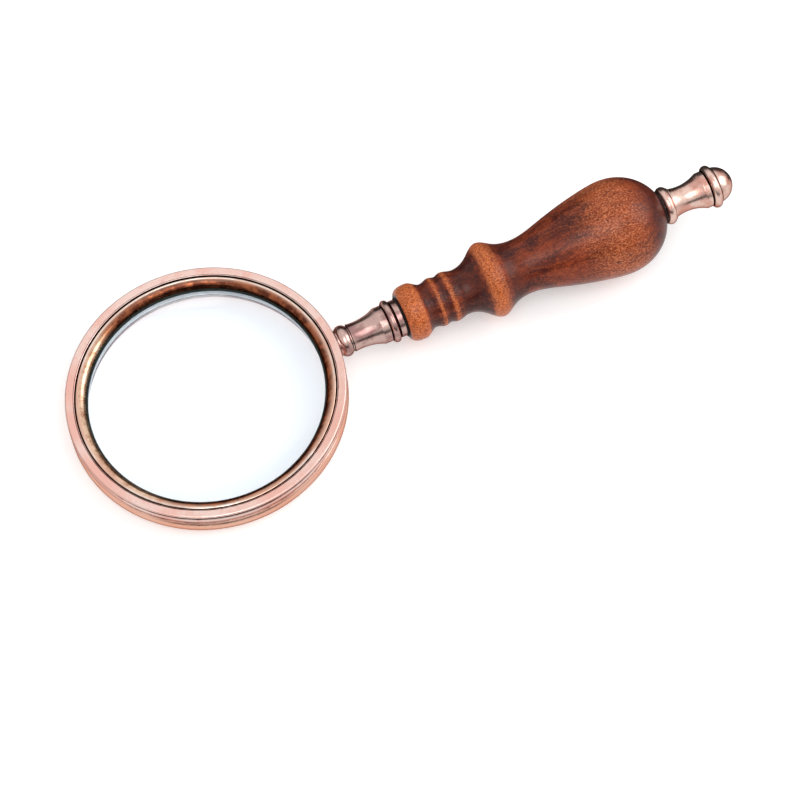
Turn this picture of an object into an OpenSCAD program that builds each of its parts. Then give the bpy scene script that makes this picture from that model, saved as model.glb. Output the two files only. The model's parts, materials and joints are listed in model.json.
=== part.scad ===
// Hand magnifying glass: a lens held in a metal ring by a screwed-in retaining ring, on a turned
// wooden handle. One long threaded rod runs through the handle and clamps every handle piece
// between the tapped rim of the ring and a domed knob at the tail.
//
// Every piece is first drawn in the lens frame: origin at the middle of the lens, +Z along the
// lens axis, +X along the handle. The whole object is then laid down as it lies on a table, on
// the far edge of the ring and on the bulb of the handle, with the middle of its footprint at the
// origin and +Z up.

/* [Overall] */
// Length of the whole object, from the far edge of the ring to the tip of the tail knob
overall_l = 225; // [220:1:235]

/* [Ring] */
// Outer diameter of the ring that holds the lens
ring_d = 88; // [86:1:90]
// Thickness of the ring along the lens axis
ring_t = 11; // [10.8:0.1:11.4]
// Radial width of the ring's back ledge, from its outside to the clear opening
rim_w = 7; // [6.8:0.1:7.2]
// Radial wall left outside the thread of the retaining ring
thread_wall = 3; // [2.9:0.05:3.1]
// Radius of the rolled edge of the front face
edge_r = 0.5; // [0.4:0.05:0.6]
// How far the rolled edge stays inside the two beads
edge_inset = 0.1; // [0:0.05:0.3]
// Radius of the upper bead round the outside wall
upper_bead_r = 1.35; // [1.1:0.05:1.4]
// Radius of the lower bead round the outside wall
lower_bead_r = 2.6; // [2.2:0.1:2.6]
// Width of the groove between the rolled edge and the upper bead
front_groove_w = 0.2; // [0.1:0.05:0.4]
// Width of the groove between the two beads
middle_groove_w = 1.2; // [0.8:0.1:1.3]
// Depth of the grooves
groove_depth = 1; // [0.7:0.1:1.2]
// Radius of the edge between the outside wall and the back face
base_edge_r = 0.5; // [0.2:0.1:0.6]
// Chamfer at the inner edges of the ring
ring_chamfer = 0.3; // [0.1:0.05:0.4]

/* [Lens] */
// Radial width of the ledge under the edge of the lens
seat_w = 1.2; // [1:0.1:1.3]
// Thickness of the lens at its edge
lens_edge_t = 3.6; // [3.2:0.1:3.8]
// Radius of curvature of both faces of the lens
lens_face_r = 220; // [200:5:400]
// Thickness of each of the two gaskets
gasket_t = 0.8; // [0.6:0.1:0.9]

/* [Retaining ring] */
// Radial width of gasket left in view inside the foot of the retaining ring
gasket_shown = 0.65; // [0.3:0.05:0.8]
// Height of the retaining ring's foot above the lens seat
foot_h = 0.2; // [0.1:0.05:0.4]
// Radius of the round slope from the foot up to the lip
slope_r = 2.2; // [2:0.05:2.3]
// Radius of the lip round the top of the retaining ring
lip_r = 0.5; // [0.3:0.05:0.55]
// How far the top of the lip stays below the front face of the ring
lip_drop = 0.4; // [0.2:0.05:0.6]
// How far the lip stays inside the thread of the retaining ring
lip_inset = 0.2; // [0.1:0.05:0.3]

/* [Neck] */
// Radius of the bead that sits against the rim
neck_bead_r = 5.1; // [4.8:0.1:5.6]
// Length of the neck bead
neck_bead_l = 4.6; // [4:0.1:5]
// Radius of the waist of the neck column
neck_waist_r = 4.4; // [4:0.1:4.8]
// Radius of the band at the wide end of the neck column
neck_band_r = 5.95; // [5.6:0.05:6.2]
// Length of the neck column, band included
neck_column_l = 12.05; // [11:0.05:13]
// Length of the band at the wide end of the neck column
neck_band_l = 2.3; // [1.5:0.1:3]
// Distance from the start of the neck column to its waist
neck_waist_at = 2.5; // [2:0.1:4]
// Radius of the bead ring behind the neck column
neck_ring_r = 7.0; // [6.6:0.1:7.4]
// Length of the neck ring
neck_ring_l = 3.1; // [2.8:0.1:3.4]
// Radius of the plain collar in front of the wood
collar_r = 6.05; // [5.6:0.05:6.4]
// Length of the plain collar
collar_l = 1.9; // [1.5:0.1:2.4]
// Radius of the washer between the collar and the wood
front_washer_r = 6.5; // [6:0.1:6.9]
// Thickness of each of the two washers
washer_t = 0.45; // [0.3:0.05:0.6]

// Height of the round of each bead above its straight core
bead_rise = 0.9; // [0.7:0.05:1]
// Height and width of the step at each side of a bead ring
ring_shoulder = 0.35; // [0.2:0.05:0.4]

/* [Wooden handle] */
// Radius of the front face of the wood, where its first bead begins
wood_front_r = 7.0; // [6.8:0.1:7.5]
// Length of the rounded shoulder at the front of the first bead
wood_shoulder_l = 3.3; // [2.5:0.1:3.8]
// Largest radius of the bulb
bulb_r = 15.6; // [14:0.1:17]
// Length of the rounded end behind the widest part of the bulb, if it ran to a point
bulb_end_l = 16.6; // [16:0.1:18]
// Length of the wood
wood_l = 89.7; // [89:0.1:90]

/* [Tail] */
// Radius of the washer between the wood and the tail bead
rear_washer_r = 5.5; // [5:0.1:5.6]
// Radius of the bead behind the wood
tail_bead_r = 6.25; // [6:0.05:6.6]
// Length of the tail bead
tail_bead_l = 3.5; // [3:0.1:4]
// Radius of the waist of the tail column
tail_waist_r = 4.3; // [4:0.1:4.6]
// Radius of the band at the wide end of the tail column
tail_band_r = 5.95; // [5.6:0.05:6.2]
// Length of the tail column, band included
tail_column_l = 12.3; // [11.5:0.1:13]
// Length of the band at the wide end of the tail column
tail_band_l = 1.7; // [1.2:0.1:2.2]
// Distance from the start of the tail column to its waist
tail_waist_at = 4.0; // [3:0.1:5]
// Radius of the bead ring behind the tail column
tail_ring_r = 7.1; // [6.7:0.1:7.5]
// Length of the tail ring
tail_ring_l = 3.6; // [3.2:0.1:4]
// Radius of the dome of the tail knob
knob_r = 5.85; // [5.5:0.05:6.2]

/* [Rod and fits] */
// Outer radius of the threaded rod
rod_r = 2.0; // [1.8:0.1:2]
// Radial running clearance of every turning or sliding fit
fit = 0.05; // [0.03:0.01:0.08]
// Depth to which the rod screws into the rim
rim_engagement = 4.4; // [4:0.1:4.5]
// Depth to which the rod screws into the tail knob
knob_engagement = 3.5; // [3:0.1:3.6]
// Free depth left beyond each end of the rod
end_clearance = 0.25; // [0.1:0.05:0.3]

/* [Hidden] */
$fn = 96;
far = 400;

// Ring and lens, worked out from their driving dimensions
ring_r = ring_d / 2;
half_t = ring_t / 2;
core_r = ring_r - groove_depth;
edge_out_r = ring_r - edge_inset;
upper_bead_z = half_t - 2 * edge_r - front_groove_w - upper_bead_r;
lower_bead_z = upper_bead_z - upper_bead_r - middle_groove_w - lower_bead_r;
clear_r = ring_r - rim_w;
lens_r = clear_r + seat_w;
pocket_r = lens_r + 2 * fit;
seat_z = lens_edge_t / 2 + gasket_t;
thread_r = ring_r - thread_wall;
retainer_r = thread_r - fit;

// Flat-ended boss on the rim, which the neck bead butts against
seat_boss_r = 3.9;
seat_boss_x = ring_r + 2 * fit;

// Stations along the handle axis where each piece begins
neck_bead_x = seat_boss_x + fit;
neck_column_x = neck_bead_x + neck_bead_l + fit;
neck_ring_x = neck_column_x + neck_column_l;
collar_x = neck_ring_x + neck_ring_l;
front_washer_x = collar_x + collar_l;
wood_x = front_washer_x + washer_t;
rear_washer_x = wood_x + wood_l;
tail_bead_x = rear_washer_x + washer_t;
tail_column_x = tail_bead_x + tail_bead_l;
tail_ring_x = tail_column_x + tail_column_l + fit;
knob_x = tail_ring_x + tail_ring_l + fit;
tip_x = overall_l - ring_r;
bore_r = rod_r + fit;
rod_front_x = seat_boss_x - rim_engagement;
rod_back_x = knob_x + knob_engagement;

// Turning of the wood behind its first shoulder: distance from its front face, radius, slope
bulb_at = 74.2;
wood_stations = [[wood_shoulder_l, 9.2, 0.05], [5.0, 9.2, -0.1], [9.0, 7.25, 0], [12.0, 8.05, 0],
                 [14.0, 7.6, 0], [16.2, 8.22, 0], [20.2, 7.42, 0], [26.4, 10.1, 0.9],
                 [30.4, 12.45, 0], [34.2, 10.75, -0.62], [41.0, 9.0, 0], [53.8, 11.8, 0.275],
                 [64.8, 14.4, 0.185], [bulb_at, bulb_r, 0]];

// The object lies on the back edge of the ring, at its far side, and on the bulb
bulb_x = wood_x + bulb_at;
lay_angle = asin((bulb_r - half_t) / (bulb_x + core_r - base_edge_r));
lay_z = bulb_r - bulb_x * sin(lay_angle);
tail_reach = (tip_x - knob_r) * cos(lay_angle) + knob_r;
ring_reach = (edge_out_r - edge_r) * cos(lay_angle) + (half_t - edge_r) * sin(lay_angle) + edge_r;
lay_x = (ring_reach - tail_reach) / 2;

// Cubic between stations a and b, which are [position, radius, slope], at the share t
function cubic(a, b, t) =
    let (l = b[0] - a[0])
    a[1] * (1 - 3 * t * t + 2 * t * t * t) + b[1] * (3 * t * t - 2 * t * t * t)
    + a[2] * l * (t - 2 * t * t + t * t * t) + b[2] * l * (t * t * t - t * t);

// Half outline of the wood as [radius, station], from its front face to its back face
function wood_outline(steps) = concat(
    [for (i = [0 : steps]) let (a = 90 * i / steps)
        [wood_front_r + (wood_stations[0][1] - wood_front_r) * sin(a),
         wood_shoulder_l * (1 - cos(a))]],
    [for (s = [0 : len(wood_stations) - 2]) for (i = [1 : steps])
        let (a = wood_stations[s], b = wood_stations[s + 1], t = i / steps)
        [cubic(a, b, t), a[0] + (b[0] - a[0]) * t]],
    [for (i = [1 : 2 * steps]) let (d = (wood_l - bulb_at) * sin(45 * i / steps))
        [bulb_r * sqrt(1 - pow(d / bulb_end_l, 2)), bulb_at + d]]);

// Lays the object down on the table
module laid_down() translate([lay_x, 0, lay_z]) rotate([0, -lay_angle, 0]) children();

// Turns a half section about the lens axis
module on_lens_axis() laid_down() rotate_extrude() children();

// Turns a half section about the handle axis, with its zero at station x
module on_handle_axis(x) laid_down() translate([x, 0, 0]) rotate([0, 90, 0]) rotate_extrude() children();

// Half section of a rectangle from radius r0 to r1 and from height z0 to z1
module block(r0, r1, z0, z1) translate([r0, z0]) square([r1 - r0, z1 - z0]);

// Half section of a bored bead: a round of half the length on a straight core
module bead_section(r, l) difference() {
    union() {
        translate([r - l / 2, l / 2]) circle(r = l / 2);
        block(0, r - bead_rise, 0, l);
    }
    block(-far, bore_r, -far, far);
}

// Half section of a bored ring: a narrower bead in the middle of a shouldered core
module bead_ring_section(r, l) {
    bead_r = l / 2 - ring_shoulder;
    difference() {
        union() {
            translate([r - bead_r, l / 2]) circle(r = bead_r);
            block(0, r - bead_r, ring_shoulder, l - ring_shoulder);
            block(0, r - bead_r - 2 * ring_shoulder, 0, l);
        }
        block(-far, bore_r, -far, far);
    }
}

// Half section of a bored column: a hollow arc from the waist to a straight band
module column_section(waist_r, waist_at, band_r, band_l, l) {
    run = l - band_l - waist_at;
    rise = band_r - waist_r;
    hollow_r = (run * run + rise * rise) / (2 * rise);
    difference() {
        block(bore_r, band_r, 0, l);
        intersection() {
            translate([waist_r + hollow_r, waist_at]) circle(r = hollow_r, $fn = 360);
            block(0, far, -far, l - band_l);
        }
    }
}

// Height of a lens face above the middle of the lens at the radius r
function lens_z(r) = lens_edge_t / 2 + (lens_r * lens_r - r * r) / (2 * lens_face_r);

// Half section of a gasket between the lens and a seat
module gasket_section() polygon([
    [clear_r + fit, lens_z(clear_r) + fit / 2],
    [lens_r, lens_z(lens_r) + fit / 2],
    [lens_r, seat_z],
    [clear_r + fit, seat_z]]);

// Half section of a round at radius r and height z
module round_at(r, z, size) translate([r, z]) circle(r = size);

// Half section of a chamfer cut about the corner at radius r and height z
module chamfer_at(r, z) translate([r, z]) rotate(45) square(ring_chamfer * sqrt(2), center = true);

module frame_section() difference() {
    union() {
        block(clear_r, core_r, base_edge_r - half_t, half_t - edge_r);
        block(clear_r, core_r - base_edge_r, -half_t, 0);
        block(clear_r, edge_out_r - edge_r, half_t - 2 * edge_r, half_t);
        round_at(core_r - base_edge_r, base_edge_r - half_t, base_edge_r);
        round_at(edge_out_r - edge_r, half_t - edge_r, edge_r);
        round_at(ring_r - upper_bead_r, upper_bead_z, upper_bead_r);
        round_at(ring_r - lower_bead_r, lower_bead_z, lower_bead_r);
    }
    block(0, pocket_r, -seat_z, far);
    block(0, thread_r, seat_z, far);
    chamfer_at(thread_r, half_t);
    chamfer_at(clear_r, -half_t);
}

module lens_frame() color([0.80, 0.55, 0.46]) difference() {
    union() {
        on_lens_axis() frame_section();
        on_handle_axis(thread_r) block(0, seat_boss_r, 0, seat_boss_x - thread_r);
    }
    on_handle_axis(rod_front_x - end_clearance) block(0, bore_r, 0, far);
}

module rear_gasket() color([0.14, 0.17, 0.15]) on_lens_axis() mirror([0, 1]) gasket_section();

module lens() color([0.86, 0.93, 0.97, 0.4]) laid_down() intersection() {
    centre_z = lens_z(0) - lens_face_r;
    translate([0, 0, centre_z]) sphere(r = lens_face_r, $fn = 360);
    translate([0, 0, -centre_z]) sphere(r = lens_face_r, $fn = 360);
    translate([0, 0, -half_t]) cylinder(r = lens_r, h = ring_t);
}

module front_gasket() color([0.14, 0.17, 0.15]) on_lens_axis() gasket_section();

module retaining_ring() color([0.72, 0.47, 0.38]) on_lens_axis() {
    foot_r = clear_r + gasket_shown;
    foot_z = seat_z + foot_h;
    lip_mid_r = retainer_r - lip_inset - lip_r;
    lip_mid_z = half_t - lip_drop - lip_r;
    block(foot_r, retainer_r, seat_z + fit, foot_z);
    block(foot_r + slope_r, retainer_r, foot_z, lip_mid_z - lip_inset);
    block(foot_r + slope_r, lip_mid_r + lip_r, foot_z, lip_mid_z);
    round_at(lip_mid_r, lip_mid_z, lip_r);
    intersection() {
        round_at(foot_r + slope_r, foot_z, slope_r, $fn = 180);
        block(0, foot_r + slope_r, foot_z, far);
    }
}

module neck_bead() color([0.70, 0.50, 0.46]) on_handle_axis(neck_bead_x)
    bead_section(neck_bead_r, neck_bead_l);

module neck_column() color([0.70, 0.52, 0.48]) on_handle_axis(neck_column_x)
    column_section(neck_waist_r, neck_waist_at, neck_band_r, neck_band_l, neck_column_l);

module neck_ring() color([0.78, 0.56, 0.50]) on_handle_axis(neck_ring_x)
    bead_ring_section(neck_ring_r, neck_ring_l);

module handle_collar() color([0.62, 0.52, 0.50]) on_handle_axis(collar_x)
    block(bore_r, collar_r, 0, collar_l);

module front_washer() color([0.08, 0.07, 0.07]) on_handle_axis(front_washer_x)
    block(bore_r, front_washer_r, 0, washer_t);

module wood_handle() color([0.45, 0.20, 0.10]) on_handle_axis(wood_x)
    polygon(concat([[bore_r, 0]], wood_outline(6), [[bore_r, wood_l]]));

module rear_washer() color([0.08, 0.07, 0.07]) on_handle_axis(rear_washer_x)
    block(bore_r, rear_washer_r, 0, washer_t);

module tail_bead() color([0.82, 0.60, 0.52]) on_handle_axis(tail_bead_x)
    bead_section(tail_bead_r, tail_bead_l);

module tail_column() color([0.82, 0.60, 0.52]) on_handle_axis(tail_column_x)
    column_section(tail_waist_r, tail_waist_at, tail_band_r, tail_band_l, tail_column_l);

module tail_ring() color([0.80, 0.57, 0.50]) on_handle_axis(tail_ring_x)
    bead_ring_section(tail_ring_r, tail_ring_l);

module tail_knob() color([0.84, 0.60, 0.53]) on_handle_axis(knob_x) difference() {
    intersection() {
        translate([0, tip_x - knob_r - knob_x]) circle(r = knob_r);
        block(0, far, 0, far);
    }
    block(0, bore_r, -far, knob_engagement + end_clearance);
}

module tie_rod() color([0.66, 0.66, 0.68]) on_handle_axis(rod_front_x)
    block(0, rod_r, 0, rod_back_x - rod_front_x);

lens_frame();
rear_gasket();
lens();
front_gasket();
retaining_ring();
neck_bead();
neck_column();
neck_ring();
handle_collar();
front_washer();
wood_handle();
rear_washer();
tail_bead();
tail_column();
tail_ring();
tail_knob();
tie_rod();
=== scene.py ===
"""A hand magnifying glass: a lens in a beaded copper ring, on a turned and lacquered wooden handle.

Every piece is turned on one of two axes, the lens axis or the handle axis, and its half section is written
in millimetres: radius from the axis, then distance along it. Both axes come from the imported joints.
"""

import json
import math

import bpy
import numpy as np
from mathutils import Matrix, Vector


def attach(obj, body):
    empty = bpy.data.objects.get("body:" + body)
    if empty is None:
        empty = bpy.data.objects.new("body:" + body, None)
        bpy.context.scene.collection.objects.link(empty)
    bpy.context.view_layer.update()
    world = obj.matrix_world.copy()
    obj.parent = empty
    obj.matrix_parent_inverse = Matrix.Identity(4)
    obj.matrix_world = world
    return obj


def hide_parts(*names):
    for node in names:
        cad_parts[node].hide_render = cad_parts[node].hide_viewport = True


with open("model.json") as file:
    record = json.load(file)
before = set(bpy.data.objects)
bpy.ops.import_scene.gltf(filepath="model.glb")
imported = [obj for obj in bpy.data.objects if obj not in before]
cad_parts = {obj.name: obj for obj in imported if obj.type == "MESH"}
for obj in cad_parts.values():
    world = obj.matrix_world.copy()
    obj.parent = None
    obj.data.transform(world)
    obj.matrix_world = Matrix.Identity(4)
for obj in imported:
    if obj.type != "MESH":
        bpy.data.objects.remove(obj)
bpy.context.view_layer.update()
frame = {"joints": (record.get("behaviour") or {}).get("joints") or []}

MM = 0.001

# ---------------------------------------------------------------- places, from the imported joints

joints = {joint["name"]: joint for joint in frame["joints"]}
lens_axis = Vector(joints["bezel_turn"]["axis"]).normalized()
handle_axis = Vector(joints["handle_turn"]["axis"]).normalized()
side_axis = lens_axis.cross(handle_axis)
lens_centre = Vector(joints["bezel_turn"]["pos_m"])


def lens_centred(x_axis, y_axis, z_axis):
    """The matrix of a frame at the middle of the lens with these three directions."""
    directions = Matrix((x_axis, y_axis, z_axis)).transposed().to_4x4()
    return Matrix.Translation(lens_centre) @ directions


LENS_FRAME = lens_centred(handle_axis, side_axis, lens_axis)
HANDLE_FRAME = lens_centred(-lens_axis, side_axis, handle_axis)


def station(joint):
    """How far along the handle axis a joint sits from the middle of the lens, in mm."""
    return (Vector(joints[joint]["pos_m"]) - lens_centre).dot(handle_axis) / MM


# ---------------------------------------------------------------- sizes in mm, as in the CAD source

overall_l = 225.0
fit = 0.05

# Outside of the ring: faces, core, rounded edges and two beads
ring_r = 44.0
half_t = 5.5
core_r = 43.0
edge_out_r, edge_r = 43.9, 0.5
base_edge_r = 0.5
upper_bead_r, upper_bead_z = 1.35, 2.95
lower_bead_r, lower_bead_z = 2.6, -2.2

# Inside of the ring: opening, pocket of the lens, and thread
clear_r = 37.0
pocket_r = 38.3
thread_r = 41.0
seat_z = 2.6
ring_chamfer = 0.3

# Lens, and the retaining ring's foot, slope and lip
lens_r = 38.2
lens_edge_t, lens_face_r = 3.6, 220.0
lens_edge_land = 0.2
foot_r, foot_z = 37.65, 2.8
slope_r = 2.2
lip_r, lip_mid_r, lip_mid_z = 0.5, 40.25, 4.6
gasket_drop = 0.2

# Rod, its bores, and the threads
bore_r, rod_r = 2.05, 2.0
rod_tip_chamfer, rod_waist_depth = 0.45, 0.15
rod_full_l = 12.0
rim_engagement, knob_engagement = 4.4, 3.5
end_clearance = 0.25
bezel_pitch, bezel_thread_depth = 0.75, 0.3
rod_pitch, rod_thread_depth, knob_thread_depth = 0.7, 0.3, 0.25
threaded_l = 11.5
thread_gap = 0.4
seat_boss_r, seat_boss_x = 3.9, ring_r + 0.1
seat_boss_depth = 1.2

# Turned pieces of the handle, in order from the rim: lengths along the axis
neck_bead_l = 4.6
neck_column_l = 12.05
neck_ring_l = 3.1
collar_l = 1.9
washer_t = 0.45
wood_l = 89.7
tail_bead_l = 3.5
tail_column_l = 12.3
tail_ring_l = 3.6

# Their radii
neck_bead_r, neck_bead_core_r = 5.1, 4.2
neck_waist_r, neck_band_r = 4.4, 5.95
neck_ring_r = 7.0
collar_r = 6.05
front_washer_r, rear_washer_r = 6.5, 5.5
tail_bead_r, tail_bead_core_r = 6.25, 5.35
tail_waist_r, tail_band_r = 4.3, 5.95
tail_ring_r = 7.1
dome_r = 5.85
knob_rim_r, knob_rim_l = 5.72, 0.62

# Where each waist lies behind its column's front end, and how long each band is
neck_waist_at, neck_band_l = 2.5, 2.3
tail_waist_at, tail_band_l = 4.0, 1.7
# Steps beside the bead of a ring, and rounded edges
ring_shoulder = 0.35
band_edge, washer_edge = 0.14, 0.1

# Distances of the front ends from the middle of the lens
tip_x = overall_l - ring_r
neck_bead_x = station("handle_turn")
neck_column_x = neck_bead_x + neck_bead_l + fit
neck_ring_x = neck_column_x + neck_column_l
collar_x = neck_ring_x + neck_ring_l
front_washer_x = collar_x + collar_l
wood_x = front_washer_x + washer_t
rear_washer_x = wood_x + wood_l
tail_bead_x = rear_washer_x + washer_t
tail_column_x = tail_bead_x + tail_bead_l
tail_ring_x = tail_column_x + tail_column_l + fit
knob_x = station("knob_turn")
rod_start = seat_boss_x - rim_engagement
rod_end = knob_x + knob_engagement

# The wood: its rounded front shoulder and its bulb, which ends in a quarter of an ellipse
wood_front_r, wood_shoulder_l = 7.0, 3.3
bulb_at, bulb_r, bulb_end_l = 74.2, 15.6, 16.6
# Its turning between them: distance from its front face, radius, slope
WOOD_STATIONS = [
    (wood_shoulder_l, 9.2, 0.05), (5.0, 9.2, -0.1), (9.0, 7.25, 0), (12.0, 8.05, 0), (14.0, 7.6, 0),
    (16.2, 8.22, 0), (20.2, 7.42, 0), (26.4, 10.1, 0.9), (30.4, 12.45, 0), (34.2, 10.75, -0.62),
    (41.0, 9.0, 0), (53.8, 11.8, 0.275), (64.8, 14.4, 0.185), (bulb_at, bulb_r, 0),
]

# Meshes: the widest step along an outline, and the steepest edge that is shaded smooth
OUTLINE_STEP = 0.3
BORE_STEP = 1.8
WOOD_STEP = 0.27
STEPS_PER_PITCH = 8
SMOOTH_ANGLE = math.radians(42)

# ---------------------------------------------------------------- half sections


def arc(r, s, radius, start, end, step=0.12):
    """Points on an arc about (r, s), from one angle to another in degrees, about step apart."""
    count = max(3, math.ceil(abs(math.radians(end - start)) * radius / step))
    angles = [math.radians(start + (end - start) * i / count) for i in range(count + 1)]
    return [(r + radius * math.cos(a), s + radius * math.sin(a)) for a in angles]


def fillet(corners):
    """The outline through (r, s, radius) corners, each rounded to its radius."""
    points = []
    for i, (r, s, radius) in enumerate(corners):
        here = Vector((r, s))
        back = Vector(corners[i - 1][:2]) - here
        ahead = Vector(corners[(i + 1) % len(corners)][:2]) - here
        if radius == 0 or back.length == 0 or ahead.length == 0:
            points.append((r, s))
            continue
        half = back.angle(ahead) / 2
        reach = min(radius / math.tan(half), 0.49 * back.length, 0.49 * ahead.length)
        radius = reach * math.tan(half)
        centre = here + (back.normalized() + ahead.normalized()).normalized() * (radius / math.sin(half))
        first, last = (here + side.normalized() * reach - centre for side in (back, ahead))
        start = math.atan2(first.y, first.x)
        turn = (math.atan2(last.y, last.x) - start + math.pi) % (2 * math.pi) - math.pi
        points += arc(*centre, radius, math.degrees(start), math.degrees(start + turn), 0.06)
    return points


def refine(points, threads=()):
    """The same closed outline with more points between its corners: close together on a threaded wall, and
    far apart in a plain bore."""
    fine = []
    for (r0, s0), (r1, s1) in zip(points, points[1:] + points[:1]):
        pitches = [spec[0] for radius, spec in threads if abs(r0 - radius) + abs(r1 - radius) < 0.01]
        plain = BORE_STEP if max(r0, r1) < bore_r + fit else OUTLINE_STEP
        step = pitches[0] / STEPS_PER_PITCH if pitches else plain
        count = max(1, math.ceil(math.hypot(r1 - r0, s1 - s0) / step))
        fine += [(r0 + (r1 - r0) * i / count, s0 + (s1 - s0) * i / count) for i in range(count)]
    return fine


def moved(points, distance):
    """The same outline further along its axis."""
    return [(r, s + distance) for r, s in points]


def bead_span(r, mid_r, floor_r):
    """Half the angle over which a round of radius r about mid_r stands clear of a groove's floor."""
    return math.degrees(math.acos((floor_r - mid_r) / r))


def frame_section():
    """The ring: flat faces, a rolled front edge, two beads outside, and the seat of the lens inside."""
    upper, lower = ring_r - upper_bead_r, ring_r - lower_bead_r
    upper_span = bead_span(upper_bead_r, upper, core_r)
    lower_span = bead_span(lower_bead_r, lower, core_r)
    outside = (
        arc(core_r - base_edge_r, base_edge_r - half_t, base_edge_r, -90, 0, 0.08)
        + arc(lower, lower_bead_z, lower_bead_r, -lower_span, lower_span)
        + arc(upper, upper_bead_z, upper_bead_r, -upper_span, upper_span)
        + arc(edge_out_r - edge_r, half_t - edge_r, edge_r, -143, 90, 0.06)
    )
    bevel = ring_chamfer
    inside = fillet([
        (thread_r + bevel, half_t, 0.2), (thread_r, half_t - bevel, 0.2), (thread_r, seat_z, 0),
        (pocket_r, seat_z, 0.05), (pocket_r, -seat_z, 0), (clear_r, -seat_z, 0.08),
        (clear_r, bevel - half_t, 0.08), (clear_r + bevel, -half_t, 0.12),
    ])
    return outside + inside


def bezel_section():
    """The retaining ring: a threaded wall, a round bright lip and a rounded slope down to its foot."""
    wall_r, step_z = thread_r - fit, lip_mid_z - 0.2
    lip = arc(lip_mid_r, lip_mid_z, lip_r, 0, 118, 0.05)
    slope = arc(foot_r + slope_r, foot_z, slope_r, 93, 180, 0.1)
    foot = fillet([(foot_r, seat_z + fit, 0.08), (wall_r, seat_z + fit, 0.1), (wall_r, step_z, 0.06)])
    return lip + slope + foot + [(lip_mid_r + lip_r, step_z + 0.06)]


def lens_z(r):
    """Height of a lens face above the middle of the lens at the radius r."""
    return lens_edge_t / 2 + (lens_r**2 - r**2) / (2 * lens_face_r)


def lens_section():
    """A lens: two ball faces, which turn to a small chamfer at a straight edge."""
    face_r = lens_r - lens_edge_land
    steps = 48
    face = [(face_r * i / steps, lens_z(face_r * i / steps)) for i in range(steps + 1)]
    top = face + [(lens_r - 0.06, lens_z(face_r) - 0.07), (lens_r, lens_edge_t / 2 - lens_edge_land)]
    return [(r, -s) for r, s in top] + top[::-1]


def gasket_section(side):
    """A gasket in front of the lens, with side 1, or behind it, with side -1."""
    low, high = lens_z(clear_r) + fit, seat_z
    inner = clear_r + fit
    corners = [(inner, low, 0.15), (lens_r, low - gasket_drop, 0.1), (lens_r, high, 0.1), (inner, high, 0.2)]
    return [(r, side * s) for r, s in fillet(corners)[::side]]


def bead_section(r, length, core):
    """A bored bead: a round of half the length on a straight core."""
    half = length / 2
    reach = math.degrees(math.acos((core - r + half) / half))
    ends = [(core, length, 0.06), (bore_r, length, 0.1), (bore_r, 0, 0.1), (core, 0, 0.06)]
    return arc(r - half, half, half, -reach, reach, 0.1) + fillet(ends)


def bead_ring_section(r, length):
    """A bored ring: a narrower bead in the middle of a shouldered core."""
    shoulder = ring_shoulder
    half = length / 2 - shoulder
    neck_r = r - length / 2 - shoulder
    ends = [
        (r - half, length - shoulder, 0), (neck_r, length - shoulder, 0.06), (neck_r, length, 0.06),
        (bore_r, length, 0.1), (bore_r, 0, 0.1),
        (neck_r, 0, 0.06), (neck_r, shoulder, 0.06), (r - half, shoulder, 0),
    ]
    return arc(r - half, length / 2, half, -90, 90, 0.1)[1:-1] + fillet(ends)


def column_section(waist_r, waist_at, band_r, band_l, length):
    """A bored column: a hollow arc from the waist to a straight band."""
    run, rise = length - band_l - waist_at, band_r - waist_r
    hollow_r = (run**2 + rise**2) / (2 * rise)
    start = 180 + math.degrees(math.asin(waist_at / hollow_r))
    end = 180 - math.degrees(math.asin(run / hollow_r))
    hollow = arc(waist_r + hollow_r, waist_at, hollow_r, start, end, 0.25)
    band = [(band_r, length - band_l + 0.1, 0.05), (band_r, length, band_edge)]
    bore = [(bore_r, length, 0.1), (bore_r, 0, 0.1)]
    foot = [(hollow[0][0], 0, 0.1)]
    return hollow[1:] + fillet(band + bore + foot)


def band_section(r, length, edge):
    """A bored disc or collar."""
    return fillet([(r, 0, edge), (r, length, edge), (bore_r, length, 0.05), (bore_r, 0, 0.05)])


def cubic(a, b, t):
    """Radius at the share t between two (distance, radius, slope) stations."""
    span = b[0] - a[0]
    ease = t * t * (3 - 2 * t)
    bend = a[2] * (t - 2 * t * t + t**3) + b[2] * (t**3 - t * t)
    return a[1] + (b[1] - a[1]) * ease + span * bend


def wood_section():
    """The turned handle: a rounded shoulder, beads and hollows, and a bulb with an elliptical end."""
    points = []
    shoulder_steps, bulb_steps = 14, 48
    rise = WOOD_STATIONS[0][1] - wood_front_r
    for i in range(shoulder_steps + 1):
        turn = math.radians(90 * i / shoulder_steps)
        points.append((wood_front_r + rise * math.sin(turn), wood_shoulder_l * (1 - math.cos(turn))))
    for a, b in zip(WOOD_STATIONS, WOOD_STATIONS[1:]):
        span = b[0] - a[0]
        count = math.ceil(span / WOOD_STEP)
        points += [(cubic(a, b, i / count), a[0] + span * i / count) for i in range(1, count + 1)]
    for i in range(1, bulb_steps + 1):
        along = (wood_l - bulb_at) * math.sin(math.radians(90 * i / bulb_steps))
        points.append((bulb_r * math.sqrt(1 - (along / bulb_end_l) ** 2), bulb_at + along))
    return points + fillet([(points[-1][0] - 0.3, wood_l, 0), (bore_r, wood_l, 0.1), (bore_r, 0, 0.1)])


def knob_section():
    """The domed nut: a narrow rim, a fine step and the dome, with a blind bore behind."""
    dome_s = tip_x - dome_r - knob_x
    rim = fillet([(bore_r, 0, 0.1), (knob_rim_r - 0.1, 0, 0.12), (knob_rim_r, knob_rim_l, 0.08)])
    dome = arc(0, dome_s, dome_r, 4, 90, 0.2)
    bottom = knob_engagement + end_clearance
    drill_point = (0, bottom + 0.5)
    return rim[1:] + dome + [drill_point, (bore_r, bottom), rim[0]]


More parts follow.
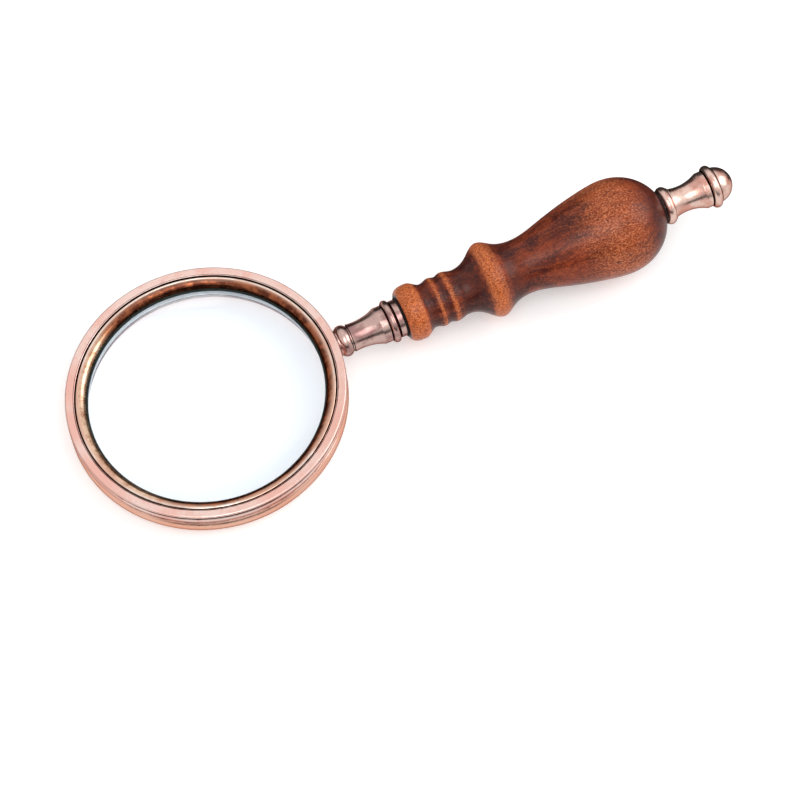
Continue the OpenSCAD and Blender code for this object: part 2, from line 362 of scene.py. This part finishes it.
def rod_section():
    """The rod: full at both ends for the threads, a little thinner between."""
    length = rod_end - rod_start
    tip_r, waist_r = rod_r - rod_tip_chamfer, rod_r - rod_waist_depth
    front = [
        (0, 0, 0), (tip_r, 0, 0.1), (rod_r, 0.5, 0.05),
        (rod_r, rod_full_l, 0), (waist_r, rod_full_l + 0.4, 0),
    ]
    rear = [(r, length - s, rounding) for r, s, rounding in front]
    return fillet(front + rear[::-1])


# ---------------------------------------------------------------- meshes


def crevices(points, walls, reach=1.6):
    """How closed in each point of an outline is, from 0 to 1, by the walls of all outlines on its axis."""
    here = np.array(points)
    along = np.roll(here, -1, 0) - np.roll(here, 1, 0)
    normal = np.stack([along[:, 1], -along[:, 0]], 1)
    normal /= np.maximum(np.linalg.norm(normal, axis=1, keepdims=True), 1e-9)
    start = np.concatenate([np.array(w) for w in walls])
    end = np.concatenate([np.roll(np.array(w), -1, 0) for w in walls])
    edge = end - start
    lift = 0.02
    total, weight = np.zeros(len(here)), 0.0
    for degrees in range(-75, 76, 15):
        c, s = math.cos(math.radians(degrees)), math.sin(math.radians(degrees))
        ray = np.stack([normal[:, 0] * c - normal[:, 1] * s, normal[:, 0] * s + normal[:, 1] * c], 1)
        origin = here + normal * lift
        gap = start[None] - origin[:, None]
        cross = ray[:, None, 0] * edge[None, :, 1] - ray[:, None, 1] * edge[None, :, 0]
        cross = np.where(np.abs(cross) < 1e-12, 1e-12, cross)
        distance = (gap[..., 0] * edge[None, :, 1] - gap[..., 1] * edge[None, :, 0]) / cross
        share = (gap[..., 0] * ray[:, None, 1] - gap[..., 1] * ray[:, None, 0]) / cross
        hit = (distance > 1e-4) & (share >= 0) & (share <= 1)
        nearest = np.where(hit, distance, reach).min(1)
        total += c * np.clip(1 - nearest / reach, 0, 1)
        weight += c
    return total / weight


def relief(points, reach):
    """How far each point of an outline stands out of the outline's mean radius nearby, in mm."""
    here = np.array(points)
    outer = here[here[:, 0] > 2 * rod_r]
    if len(outer) == 0:
        return np.zeros(len(here))
    weight = np.exp(-(((here[:, None, 1] - outer[None, :, 1]) / reach) ** 2))
    return here[:, 0] - (weight * outer[None, :, 0]).sum(1) / weight.sum(1)


def thread(r, s, angle, spec):
    """The radius at one point of a threaded wall. spec is pitch, depth towards the root, and the ends.
    The flanks leave a flat at the crest and at the root, and the thread fades out over half a pitch."""
    pitch, depth, start, end = spec
    if not start <= s <= end:
        return r
    phase = (s / pitch - angle / (2 * math.pi)) % 1
    flank = min(1.0, max(0.0, 1.35 * abs(2 * phase - 1) - 0.15))
    fade = min(1.0, (s - start) / (0.5 * pitch), (end - s) / (0.5 * pitch))
    return r + depth * flank * fade


def skin(rings, segments):
    """The faces between each ring of vertices and the next, with the last joined to the first. A ring of one
    vertex is a tip on the axis."""
    faces = []
    for low, high in zip(rings, rings[1:] + rings[:1]):
        if len(low) == 1 and len(high) == 1:
            continue
        for i in range(segments):
            j = (i + 1) % segments
            if len(low) == 1:
                faces.append((low[0], high[j], high[i]))
            elif len(high) == 1:
                faces.append((low[i], low[j], high[0]))
            else:
                faces.append((low[i], low[j], high[j], high[i]))
    return faces


def smooth(mesh):
    """Shades a mesh smooth, apart from its steep edges."""
    mesh.shade_smooth()
    mesh.set_sharp_from_angle(angle=SMOOTH_ANGLE)


def turn_mesh(name, points, segments, traits, threads=()):
    """A closed mesh of the outline turned about Z, in metres, with traits, which are attributes by name.
    threads are (radius, spec) of its threaded walls."""
    vertices, rings = [], []
    for r, s in points:
        if r < 1e-6:
            rings.append([len(vertices)])
            vertices.append((0, 0, s * MM))
            continue
        rings.append(list(range(len(vertices), len(vertices) + segments)))
        specs = [spec for radius, spec in threads if abs(r - radius) < 0.005]
        for i in range(segments):
            angle = 2 * math.pi * i / segments
            radius = thread(r, s, angle, specs[0]) if specs else r
            vertices.append((radius * MM * math.cos(angle), radius * MM * math.sin(angle), s * MM))
    mesh = bpy.data.meshes.new(name)
    mesh.from_pydata(vertices, [], skin(rings, segments))
    mesh.update()
    for trait, numbers in traits.items():
        layer = mesh.attributes.new(trait, "FLOAT", "POINT")
        values = [np.full(len(ring), number, np.float32) for ring, number in zip(rings, numbers)]
        layer.data.foreach_set("value", np.concatenate(values))
    smooth(mesh)
    return mesh


def put(name, data):
    """A new object in the scene."""
    thing = bpy.data.objects.new(name, data)
    bpy.context.scene.collection.objects.link(thing)
    return thing


def signed_area(points):
    """The area inside an outline, which is negative where the outline runs clockwise."""
    return sum(r0 * s1 - r1 * s0 for (r0, s0), (r1, s1) in zip(points, points[1:] + points[:1])) / 2


def turned(node, outline, walls, matrix, body, material, segments, threads):
    """Adds a turned piece that stands for a CAD node and rides on its body."""
    points = outline if signed_area(outline) > 0 else outline[::-1]
    # The wood paints highlights on raised points, and shade in hollows, from relief
    broad, narrow = relief(points, 3.5), relief(points, 1.5)
    # A wide swell counts up to 0.3 mm, and a narrow ridge three times
    raised = np.minimum(broad, 0.3) + 3 * narrow
    traits = {"crevice": crevices(points, walls), "relief": raised}
    mesh = turn_mesh(node + "_turned", points, segments, traits, threads)
    piece = put(node + "_turned", mesh)
    piece.matrix_world = matrix
    mesh.materials.append(material)
    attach(piece, body)
    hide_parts(node)
    return piece


def cut(piece, tool, operation):
    """Joins a turned tool to a piece, or cuts it away, and drops the tool."""
    modifier = piece.modifiers.new("cut", "BOOLEAN")
    modifier.operation, modifier.solver, modifier.object = operation, "EXACT", tool
    solved = piece.evaluated_get(bpy.context.evaluated_depsgraph_get())
    mesh = bpy.data.meshes.new_from_object(solved)
    piece.modifiers.clear()
    piece.data = mesh
    bpy.data.objects.remove(tool)


def seat_boss(ring):
    """Gives the ring the flat boss that the neck stands on, and the blind hole that the rod screws into."""
    hidden_x, past_x = ring_r - seat_boss_depth, seat_boss_x + 1
    hole_start = rod_start - end_clearance
    boss = fillet([
        (0, hidden_x, 0), (seat_boss_r, hidden_x, 0), (seat_boss_r, seat_boss_x, 0.06), (0, seat_boss_x, 0),
    ])
    hole = [(0, hole_start), (bore_r, hole_start), (bore_r, past_x), (0, past_x)]
    for outline, operation in ((boss, "UNION"), (hole, "DIFFERENCE")):
        # The boss and hole take a fixed crevice of 0.3, so some patina and painted shade
        mesh = turn_mesh("tool", outline, 64, {"crevice": [0.3] * len(outline)})
        mesh.materials.append(ring.data.materials[0])
        tool = put("tool", mesh)
        tool.matrix_world = HANDLE_FRAME
        cut(ring, tool, operation)
    smooth(ring.data)


# ---------------------------------------------------------------- material helpers


def colour(red, green, blue):
    """A linear colour from 0 to 255 display values."""
    shares = [value / 255 for value in (red, green, blue)]
    return tuple(v / 12.92 if v <= 0.04045 else ((v + 0.055) / 1.055) ** 2.4 for v in shares) + (1.0,)


class Nodes:
    """Short calls for the nodes of one material or world."""

    def __init__(self, owner):
        owner.use_nodes = True
        self.tree = owner.node_tree
        self.tree.nodes.clear()

    def add(self, kind, options=(), **inputs):
        node = self.tree.nodes.new(kind)
        for key, value in dict(options).items():
            setattr(node, key, value)
        for key, value in inputs.items():
            self.set(node.inputs[key.replace("_", " ")], value)
        return node

    def set(self, socket, value):
        if isinstance(value, bpy.types.NodeSocket):
            self.tree.links.new(value, socket)
        else:
            socket.default_value = value

    def math(self, operation, *values, clamp=False):
        node = self.add("ShaderNodeMath", {"operation": operation, "use_clamp": clamp})
        for socket, value in zip(node.inputs, values):
            self.set(socket, value)
        return node.outputs[0]

    def times(self, first, second):
        return self.math("MULTIPLY", first, second)

    def plus(self, first, second):
        return self.math("ADD", first, second)

    def minus(self, first, second):
        return self.math("SUBTRACT", first, second)

    def vector(self, operation, *values, **inputs):
        node = self.add("ShaderNodeVectorMath", {"operation": operation}, **inputs)
        for socket, value in zip(node.inputs, values):
            self.set(socket, value)
        return node.outputs[0]

    def split(self, place):
        return self.add("ShaderNodeSeparateXYZ", Vector=place).outputs

    def ramp(self, value, low, high, start=0.0, end=1.0):
        """value from low to high, smoothly mapped to start to end."""
        node = self.add("ShaderNodeMapRange", {"interpolation_type": "SMOOTHSTEP"}, Value=value)
        for socket, number in zip(node.inputs[1:5], (low, high, start, end)):
            socket.default_value = number
        return node.outputs[0]

    def switch(self, share, first, second):
        """The output of first where share is 0, and that of second where it is 1."""
        both = self.add("ShaderNodeMixShader", Fac=share)
        self.tree.links.new(first.outputs[0], both.inputs[1])
        self.tree.links.new(second.outputs[0], both.inputs[2])
        return both.outputs[0]


class Shader(Nodes):
    """A material with one Principled shader, and what is needed to vary it."""

    def __init__(self, name, **settings):
        self.material = bpy.data.materials.new(name)
        super().__init__(self.material)
        self.output = self.add("ShaderNodeOutputMaterial")
        self.surface = self.add("ShaderNodeBsdfPrincipled", **settings)
        self.set(self.output.inputs["Surface"], self.surface.outputs[0])

    def dress(self, **values):
        """Sets or links inputs of the surface by name."""
        for key, value in values.items():
            self.set(self.surface.inputs[key.replace("_", " ")], value)

    def millimetres(self):
        place = self.add("ShaderNodeTexCoord").outputs["Object"]
        return self.vector("SCALE", place, Scale=1 / MM)

    def trait(self, name):
        return self.add("ShaderNodeAttribute", {"attribute_name": name}).outputs["Fac"]

    def noise(self, place, scale, detail, roughness):
        node = self.add("ShaderNodeTexNoise", Vector=place, Scale=scale, Detail=detail, Roughness=roughness)
        return node.outputs["Fac"]

    def grain(self, place, squeeze, scale, detail, roughness):
        """Noise that is drawn out along Z, more so the smaller squeeze is."""
        return self.noise(self.vector("MULTIPLY", place, (1.0, 1.0, squeeze)), scale, detail, roughness)

    def mix(self, share, first, second):
        node = self.add("ShaderNodeMix", {"data_type": "RGBA"})
        for index, value in ((0, share), (6, first), (7, second)):
            self.set(node.inputs[index], value)
        return node.outputs[2]

    def glaze(self, tone, *layers):
        """The tone under layers of (share, colour), laid on in turn."""
        for share, tint in layers:
            tone = self.mix(share, tone, tint)
        return tone

    def bump(self, height, strength, distance):
        node = self.add("ShaderNodeBump", Height=height, Strength=strength, Distance=distance)
        return node.outputs[0]

    def radius(self, place):
        x, y, _ = self.split(place)
        return self.math("SQRT", self.plus(self.times(x, x), self.times(y, y)))

    def polar(self, place, around, across):
        """Coordinates that change slowly round the Z axis and quickly across it, with no seam."""
        x, y, z = self.split(place)
        radius = self.radius(place)
        steady = self.math("MAXIMUM", radius, 0.01)
        cosine = self.times(self.math("DIVIDE", x, steady), around)
        sine = self.times(self.math("DIVIDE", y, steady), around)
        cross = self.times(self.plus(radius, z), across)
        return self.add("ShaderNodeCombineXYZ", X=cosine, Y=sine, Z=cross).outputs[0]


# ---------------------------------------------------------------- materials

WHITE = (1.0, 1.0, 1.0, 1.0)
# Dark patina and painted shade, laid into the crevices of the copper
PATINA_AND_SHADE = colour(38, 20, 18)
NEAR_BLACK = colour(56, 18, 17)


def brown_with_painted_sheen(s, place, cloud, mottle, tone, deep, edge_r):
    """The tone with a mottled brown inside edge_r, and a pale painted sheen on the side away from the
    handle.
    """
    radius = s.radius(place)
    # Mottled brown and orange on the slope inside edge_r
    slope_brown = s.mix(s.ramp(mottle, 0.38, 0.62), colour(96, 50, 36), colour(168, 98, 66))
    painted_sheen = s.mix(s.ramp(mottle, 0.40, 0.66), colour(250, 212, 182), colour(196, 142, 108))
    # Painted reflection: paler on the side away from the handle, where the slope mirrors the light
    sheen_side_x = s.plus(s.split(place)["X"], s.times(cloud, 40))
    ragged_r = s.plus(radius, s.times(s.minus(cloud, 0.5), 1.6))
    slope_brown = s.glaze(
        slope_brown,
        (s.ramp(sheen_side_x, 2.0, -14.0), painted_sheen),
        (s.ramp(ragged_r, edge_r - 1.2, edge_r + 0.4, 0.0, 0.75), deep),
    )
    return s.mix(s.ramp(radius, edge_r - 0.1, edge_r + 0.1), slope_brown, tone)


def orange_base_and_pale_ledge(s, place, tone, edge_r):
    """The tone with an orange lower half, and with the ledge inside edge_r painted near white: painted
    light, as bright as the glass in front of it.
    """
    base = s.ramp(s.split(place)["Z"], 1.0, -1.0, 0.0, 0.6)
    tone = s.mix(base, tone, colour(255, 182, 146))
    # Painted light: the ledge behind the lens is near white
    return s.mix(s.ramp(s.radius(place), edge_r + 0.1, edge_r + 0.4), colour(244, 245, 248), tone)


def copper(name, bright, deep, brushing, speckle, rough, patina_and_shade_spread, blotch=0.05, brown_slope_r=None, pale_ledge_r=None):
    """Antique copper plating: turned finish, sandy speckle, mottled tone, and dark patina with painted shade
    in the crevices.
    Inside brown_slope_r it is mottled brown with a painted sheen on the side away from the handle, and
    inside pale_ledge_r it is painted near white."""
    s = Shader(name, Metallic=1.0, Specular_Tint=colour(150, 112, 108))
    place = s.millimetres()
    streak = s.noise(s.polar(place, 14.0, 9.0), 1.0, 5.0, 0.65)
    cloud = s.noise(place, blotch, 3.0, 0.5)
    mottle = s.noise(place, 0.3, 4.0, 0.65)
    grain = s.noise(place, 3.0, 3.0, 0.75)
    tone = s.glaze(
        s.mix(s.ramp(cloud, 0.42, 0.62), bright, deep),
        (s.ramp(mottle, 0.48, 0.68, 0.0, 0.6), deep),
        (s.ramp(streak, 0.35, 0.75, 0.0, 0.45 * brushing), deep),
        (s.ramp(grain, 0.54, 0.74, 0.0, 0.6 * speckle), deep),
    )
    if brown_slope_r is not None:
        tone = brown_with_painted_sheen(s, place, cloud, mottle, tone, deep, brown_slope_r)
    if pale_ledge_r is not None:
        tone = orange_base_and_pale_ledge(s, place, tone, pale_ledge_r)
    # Dark in the crevices: copper patina, and painted shade where the surfaces close in on each other
    ragged = s.plus(s.trait("crevice"), s.times(s.minus(mottle, 0.5), 0.25))
    dark = s.ramp(ragged, 0.14 / patina_and_shade_spread, 0.5 / patina_and_shade_spread)
    polish = s.ramp(streak, 0.3, 0.75, rough * 0.75, rough * 1.35)
    height = s.plus(s.times(streak, brushing), s.times(grain, speckle))
    s.dress(
        Base_Color=s.mix(dark, tone, PATINA_AND_SHADE),
        Roughness=s.plus(polish, s.ramp(dark, 0.0, 1.0, 0.0, 0.3)),
        Normal=s.bump(height, 0.35, 0.00005),
    )
    return s.material


def lacquered_wood():
    """Red-brown hardwood: dark grain, an orange bulb, fine flecks and a clear lacquer, with painted
    highlights on the ridges, painted glints on the bulb, and painted shade in the hollows, the crevices and
    at the rear end.
    """
    s = Shader("lacquered_wood", Coat_Weight=0.4, Coat_Roughness=0.14, Coat_IOR=1.45, Specular_IOR_Level=0.1)
    place = s.millimetres()
    warp = s.add("ShaderNodeTexNoise", Vector=place, Scale=0.06, Detail=2.0).outputs["Color"]
    bent = s.vector("ADD", place, s.vector("SCALE", s.vector("SUBTRACT", warp, (0.5, 0.5, 0.5)), Scale=8.0))
    broad = s.grain(bent, 0.4, 0.075, 3.0, 0.5)
    ribbon = s.grain(bent, 0.12, 0.3, 3.0, 0.55)
    streak = s.grain(bent, 0.06, 1.1, 4.0, 0.6)
    fibre = s.grain(bent, 0.22, 2.6, 4.0, 0.7)
    flame = s.grain(bent, 0.6, 0.22, 2.0, 0.5)
    fleck = s.grain(place, 0.6, 2.4, 3.0, 0.75)

    along = s.split(bent)["Z"]
    swell = s.times(s.ramp(along, wood_x + 54, wood_x + 70), s.ramp(along, wood_x + 85, wood_x + 74))
    glow = s.times(swell, s.ramp(broad, 0.36, 0.54, 0.3, 1.0))
    raised = s.trait("relief")
    # Painted highlight: lighter orange on the raised ridges of the front half
    ridge_highlight = s.times(s.ramp(raised, 0.25, 1.0, 0.0, 0.85), s.ramp(along, wood_x + 52, wood_x + 40))
    ridge_highlight_tone = s.mix(s.ramp(fleck, 0.36, 0.62), colour(142, 62, 30), colour(230, 128, 72))
    tone = s.glaze(
        s.mix(s.ramp(broad, 0.40, 0.60), colour(66, 21, 17), colour(124, 50, 27)),
        (s.ramp(ribbon, 0.5, 0.64, 0.0, 0.75), colour(52, 15, 17)),
        (s.ramp(flame, 0.50, 0.60, 0.0, 0.45), colour(152, 64, 32)),
        (s.times(glow, 0.75), colour(170, 80, 38)),
        (s.ramp(streak, 0.50, 0.34, 0.0, 0.5), colour(160, 72, 36)),
        (s.ramp(streak, 0.54, 0.68, 0.0, 0.6), NEAR_BLACK),
        (s.ramp(fleck, 0.52, 0.66, 0.0, 0.55), colour(178, 84, 42)),
        (s.ramp(fleck, 0.48, 0.36, 0.0, 0.55), colour(56, 18, 15)),
        # Painted glints: bright flecks over the bulb, for a speckled highlight
        (s.times(glow, s.ramp(fleck, 0.50, 0.62, 0.0, 0.5)), colour(236, 156, 112)),
        (s.times(glow, s.ramp(fleck, 0.46, 0.36, 0.0, 0.5)), colour(84, 32, 18)),
        (s.ramp(fibre, 0.56, 0.72, 0.0, 0.4), colour(48, 15, 12)),
        # Painted shade: darker towards the rear end of the bulb
        (s.ramp(along, wood_x + 79, wood_x + 87, 0.0, 0.7), colour(58, 18, 18)),
        (ridge_highlight, ridge_highlight_tone),
        # Painted shade in the hollows and crevices of the turning
        (s.ramp(raised, 0.0, -0.7, 0.0, 0.6), colour(54, 20, 20)),
        (s.ramp(s.trait("crevice"), 0.06, 0.42, 0.0, 0.8), colour(30, 10, 8)),
    )
    s.dress(
        Base_Color=tone,
        Roughness=s.ramp(fibre, 0.3, 0.8, 0.4, 0.58),
        Normal=s.bump(s.plus(fibre, fleck), 0.3, 0.00006),
        Coat_Normal=s.bump(s.plus(broad, s.times(fleck, 0.4)), 0.3, 0.00025),
    )
    return s.material


def lens_glass():
    """Clear optical glass with a cool tint and a ground edge; the tint grows greyer towards the rim as
    painted shade from the ring. Lamps shine through it: its shadow is pale.
    """
    s = Shader("lens_glass", Transmission_Weight=1.0, IOR=1.52)
    place = s.millimetres()
    radius = s.radius(place)
    haze = s.noise(place, 0.15, 3.0, 0.5)
    ground = s.ramp(radius, lens_r - 0.2, lens_r - 0.05)
    # Painted shade: the cool tint deepens towards the rim
    clear = s.mix(s.ramp(radius, 12.0, clear_r), colour(250, 252, 254), colour(241, 245, 249))
    s.dress(
        Base_Color=s.mix(ground, clear, colour(214, 226, 222)),
        Roughness=s.plus(s.ramp(haze, 0.4, 0.9, 0.0, 0.006), s.ramp(ground, 0, 1, 0, 0.5)),
    )
    shade = s.add("ShaderNodeBsdfTransparent", Color=colour(244, 248, 251))
    shadow = s.add("ShaderNodeLightPath").outputs["Is Shadow Ray"]
    s.set(s.output.inputs["Surface"], s.switch(shadow, s.surface, shade))
    return s.material


def dull(name, dark, light, scale, rough, bump):
    """A matte material with a fine cloudy grain, for rubber and fibre."""
    s = Shader(name, Specular_IOR_Level=0.35)
    grain = s.noise(s.millimetres(), scale, 5.0, 0.65)
    s.dress(
        Base_Color=s.mix(s.ramp(grain, 0.35, 0.7), dark, light),
        Roughness=s.ramp(grain, 0.3, 0.7, rough, min(1.0, rough + 0.2)),
        Normal=s.bump(grain, 0.4, bump),
    )
    return s.material


def steel():
    """Bright zinc-plated steel for the threaded rod."""
    s = Shader("rod_steel", Metallic=1.0)
    streak = s.noise(s.polar(s.millimetres(), 6.0, 7.0), 1.0, 4.0, 0.6)
    s.dress(
        Base_Color=s.mix(s.ramp(streak, 0.3, 0.7), colour(196, 196, 200), colour(160, 161, 166)),
        Roughness=s.ramp(streak, 0.3, 0.7, 0.22, 0.38),
        Normal=s.bump(streak, 0.2, 0.00003),
    )
    return s.material


ring_copper = copper(
    "ring_copper", colour(255, 225, 215), colour(250, 194, 180),
    brushing=0.7, speckle=1.3, rough=0.26, patina_and_shade_spread=2.8, pale_ledge_r=clear_r,
)
bezel_copper = copper(
    "bezel_copper", colour(255, 232, 218), colour(232, 186, 164),
    brushing=0.6, speckle=0.6, rough=0.16, patina_and_shade_spread=1.6, brown_slope_r=lip_mid_r - 0.38,
)
neck_copper = copper(
    "neck_copper", colour(222, 188, 178), colour(174, 134, 130),
    brushing=0.7, speckle=0.8, rough=0.22, patina_and_shade_spread=1.4, blotch=0.15,
)
tail_copper = copper(
    "tail_copper", colour(252, 218, 204), colour(226, 168, 152),
    brushing=0.6, speckle=0.9, rough=0.24, patina_and_shade_spread=1.5, blotch=0.15,
)
lacquer = lacquered_wood()
glass = lens_glass()
rubber = dull("gasket_rubber", colour(18, 26, 24), colour(48, 58, 52), 2.0, 0.6, 0.00005)
silicone = dull("seat_silicone", colour(244, 247, 250), colour(252, 253, 254), 1.2, 0.45, 0.00004)
# The washers are near-black fibre; their black also paints the shade in the joints beside the wood
fibre = dull("washer_fibre", colour(12, 10, 10), colour(34, 28, 26), 3.0, 0.7, 0.00008)
zinc = steel()

# ---------------------------------------------------------------- pieces

# Threads: radius of the crest, then pitch, depth towards the root, and where the thread starts and ends
frame_thread = (thread_r, (bezel_pitch, bezel_thread_depth, seat_z, half_t - thread_gap))
bezel_thread = (thread_r - fit, (bezel_pitch, -bezel_thread_depth, seat_z + 0.2, lip_mid_z - 0.3))
front_rod_thread = (rod_r, (rod_pitch, -rod_thread_depth, rod_start + thread_gap, rod_start + threaded_l))
rear_rod_thread = (rod_r, (rod_pitch, -rod_thread_depth, rod_end - threaded_l, rod_end - thread_gap))
knob_thread = (bore_r, (rod_pitch, knob_thread_depth, knob_x + 0.2, rod_end))

# Pieces of each axis: CAD node, body, slot, material, segments, place along the axis, half section, threads
LENS_PIECES = [
    ("lens_frame", "frame", "ring_copper", ring_copper, 360, 0, frame_section(), [frame_thread]),
    ("retaining_ring", "bezel", "bezel_copper", bezel_copper, 360, 0, bezel_section(), [bezel_thread]),
    ("front_gasket", "gasket", "gasket_rubber", rubber, 240, 0, gasket_section(1), []),
    ("rear_gasket", "frame", "gasket_rubber", silicone, 240, 0, gasket_section(-1), []),
    ("lens", "frame", "lens_glass", glass, 240, 0, lens_section(), []),
]
HANDLE_PIECES = [
    ("neck_bead", "neck", "neck_copper", neck_copper, 128, neck_bead_x,
     bead_section(neck_bead_r, neck_bead_l, neck_bead_core_r), []),
    ("neck_column", "handle", "neck_copper", neck_copper, 128, neck_column_x,
     column_section(neck_waist_r, neck_waist_at, neck_band_r, neck_band_l, neck_column_l), []),
    ("neck_ring", "handle", "neck_copper", neck_copper, 160, neck_ring_x,
     bead_ring_section(neck_ring_r, neck_ring_l), []),
    ("handle_collar", "handle", "neck_copper", neck_copper, 128, collar_x,
     band_section(collar_r, collar_l, band_edge), []),
    ("front_washer", "handle", "washer_fibre", fibre, 96, front_washer_x,
     band_section(front_washer_r, washer_t, washer_edge), []),
    ("wood_handle", "handle", "lacquered_wood", lacquer, 192, wood_x, wood_section(), []),
    ("rear_washer", "handle", "washer_fibre", fibre, 96, rear_washer_x,
     band_section(rear_washer_r, washer_t, washer_edge), []),
    ("tail_bead", "handle", "tail_copper", tail_copper, 128, tail_bead_x,
     bead_section(tail_bead_r, tail_bead_l, tail_bead_core_r), []),
    ("tail_column", "handle", "tail_copper", tail_copper, 128, tail_column_x,
     column_section(tail_waist_r, tail_waist_at, tail_band_r, tail_band_l, tail_column_l), []),
    ("tail_ring", "tail_collar", "tail_copper", tail_copper, 160, tail_ring_x,
     bead_ring_section(tail_ring_r, tail_ring_l), []),
    ("tail_knob", "knob", "tail_copper", tail_copper, 128, knob_x, knob_section(), [knob_thread]),
    ("tie_rod", "handle", "rod_steel", zinc, 64, rod_start, rod_section(),
     [front_rod_thread, rear_rod_thread]),
]

pieces = {}
for matrix, rows in ((LENS_FRAME, LENS_PIECES), (HANDLE_FRAME, HANDLE_PIECES)):
    outlines = {node: moved(section, start) for node, *_, start, section, _ in rows}
    walls = [outline for node, outline in outlines.items() if node != "tie_rod"]
    for node, body, slot, material, segments, _, _, threads in rows:
        fine = refine(outlines[node], threads)
        pieces[node] = turned(node, fine, walls, matrix, body, material, segments, threads)

seat_boss(pieces["lens_frame"])

# ---------------------------------------------------------------- stage, light and camera

FLOOR_HALF = 3.0
LAMP_DISTANCE = 1.6

# The camera looks at the aim point, in mm in the lens frame. At azimuth 0 it stands square to the handle
CAMERA_AZIMUTH, CAMERA_ELEVATION, CAMERA_ROLL = -16.85, 62.23, -7.95
CAMERA_DISTANCE = 1099.3
CAMERA_AIM = Vector((53.88, -26.75, 0))
FOCAL_LENGTH, SENSOR_WIDTH = 159.6, 36.0


def away(azimuth, elevation):
    """The direction from the object towards a lamp or camera, from its angles in degrees."""
    a, e = math.radians(azimuth), math.radians(elevation)
    return Vector((math.sin(a) * math.cos(e), -math.cos(a) * math.cos(e), math.sin(e)))


def floor():
    """A pale light table. Polished metal mirrors it as pale in front of the handle and as dark behind it."""
    h = FLOOR_HALF
    mesh = bpy.data.meshes.new("floor")
    mesh.from_pydata([(-h, -h, 0), (h, -h, 0), (h, h, 0), (-h, h, 0)], [], [(0, 1, 2, 3)])
    piece = put("floor", mesh)
    s = Shader("floor", Specular_IOR_Level=0.0, Roughness=0.9, Base_Color=(0.9, 0.9, 0.9, 1.0))
    s.dress(Emission_Color=WHITE, Emission_Strength=0.3)
    place = s.vector("SUBTRACT", s.millimetres(), tuple(lens_centre / MM))
    behind = s.ramp(s.split(place)["Y"], -2.0, 14.0)
    outside = s.ramp(s.radius(place), ring_r + 26, ring_r + 44)
    shade = s.minus(0.85, s.times(s.times(behind, outside), 0.81))
    mirrored = s.add("ShaderNodeEmission", Strength=shade)
    path = s.add("ShaderNodeLightPath").outputs
    reflected = s.math("SUBTRACT", path["Is Glossy Ray"], path["Is Transmission Ray"], clamp=True)
    s.set(s.output.inputs["Surface"], s.switch(reflected, s.surface, mirrored))
    mesh.materials.append(s.material)


def surroundings():
    """A white studio. Polished metal mirrors it with a dark band low down, before and behind the handle."""
    world = bpy.data.worlds.new("studio")
    bpy.context.scene.world = world
    s = Nodes(world)
    output = s.add("ShaderNodeOutputWorld")
    place = s.add("ShaderNodeTexCoord").outputs["Generated"]
    azimuth = math.radians(CAMERA_AZIMUTH)
    across = s.add("ShaderNodeVectorMath", {"operation": "DOT_PRODUCT"})
    s.set(across.inputs[0], place)
    s.set(across.inputs[1], (math.cos(azimuth), math.sin(azimuth), 0))
    aside = s.math("ABSOLUTE", across.outputs["Value"])
    above = s.ramp(s.split(place)["Z"], 0.22, 0.48, 0.02, 1.0)
    level = s.math("MAXIMUM", above, s.ramp(aside, 0.42, 0.72, 0.0, 0.85))
    mirrored = s.add("ShaderNodeBackground", Strength=level)
    seen = s.add("ShaderNodeBackground", Color=WHITE)
    path = s.add("ShaderNodeLightPath").outputs
    direct = s.math("ADD", path["Is Camera Ray"], path["Is Transmission Ray"], clamp=True)
    s.set(output.inputs["Surface"], s.switch(direct, mirrored, seen))


def softbox(name, azimuth, elevation, size, radiance):
    """A square area lamp that faces the object."""
    lamp = bpy.data.lights.new(name, "AREA")
    lamp.shape, lamp.size = "SQUARE", size
    lamp.energy = radiance * math.pi * size**2
    holder = put(name, lamp)
    back = away(azimuth, elevation)
    holder.location = back * LAMP_DISTANCE
    holder.rotation_mode = "QUATERNION"
    holder.rotation_quaternion = back.to_track_quat("Z", "Y")


def camera():
    """The camera, which leans with the ring, because its angles are those in the lens frame."""
    back = away(CAMERA_AZIMUTH, CAMERA_ELEVATION)
    turn = back.to_track_quat("Z", "Y").to_matrix() @ Matrix.Rotation(math.radians(CAMERA_ROLL), 3, "Z")
    shift = Matrix.Translation((CAMERA_AIM + back * CAMERA_DISTANCE) * MM)
    data = bpy.data.cameras.new("camera")
    data.sensor_width, data.lens = SENSOR_WIDTH, FOCAL_LENGTH
    data.clip_start, data.clip_end = 0.1, 20
    holder = put("camera", data)
    holder.matrix_world = LENS_FRAME @ shift @ turn.to_4x4()
    bpy.context.scene.camera = holder


floor()
surroundings()
softbox("side_light", azimuth=78, elevation=38, size=1.2, radiance=1.8)
softbox("top_light", azimuth=-20, elevation=66, size=0.95, radiance=2.0)
softbox("back_light", azimuth=163, elevation=62, size=1.2, radiance=0.12)
camera()
bpy.context.scene.view_settings.view_transform = "Standard"
